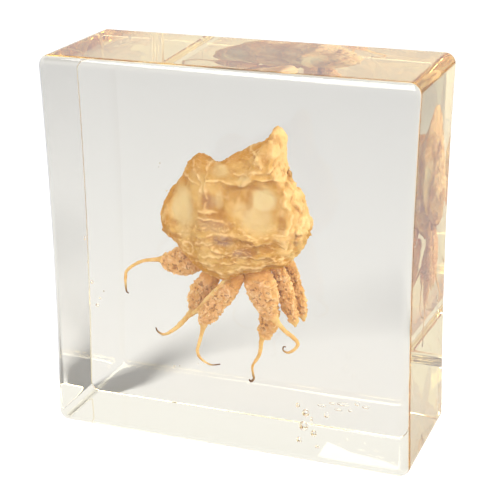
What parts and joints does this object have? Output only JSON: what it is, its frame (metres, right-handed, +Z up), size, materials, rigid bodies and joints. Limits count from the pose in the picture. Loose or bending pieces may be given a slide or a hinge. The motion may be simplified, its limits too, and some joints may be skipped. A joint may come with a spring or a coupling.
{
  "type": "jellyfish in resin block",
  "caption": "Clear resin block, standing on edge, with a dried jellyfish cast inside: a crumpled tan bell over frilled oral arms that end in curled filaments.",
  "frame": {"origin": "middle of the bottom face of the block", "axes": "+X to the right seen from the front, +Y from the front face to the back face, +Z up"},
  "size_m": [0.0748, 0.027, 0.077],
  "materials": {
    "clear_resin": "clear cast resin, polished",
    "bell_membrane": "dried membrane, tan, wrinkled and half see-through",
    "frilled_arm": "dried frills, pinkish tan with dark specks"
  },
  "bodies": {
    "root": {"resin_front": "clear_resin", "resin_back": "clear_resin", "bell": "bell_membrane", "oral_arm_1": "frilled_arm", "oral_arm_2": "frilled_arm", "oral_arm_3": "frilled_arm", "oral_arm_4": "frilled_arm", "oral_arm_5": "frilled_arm", "oral_arm_6": "frilled_arm", "oral_arm_7": "frilled_arm"}
  },
  "joints": []
}
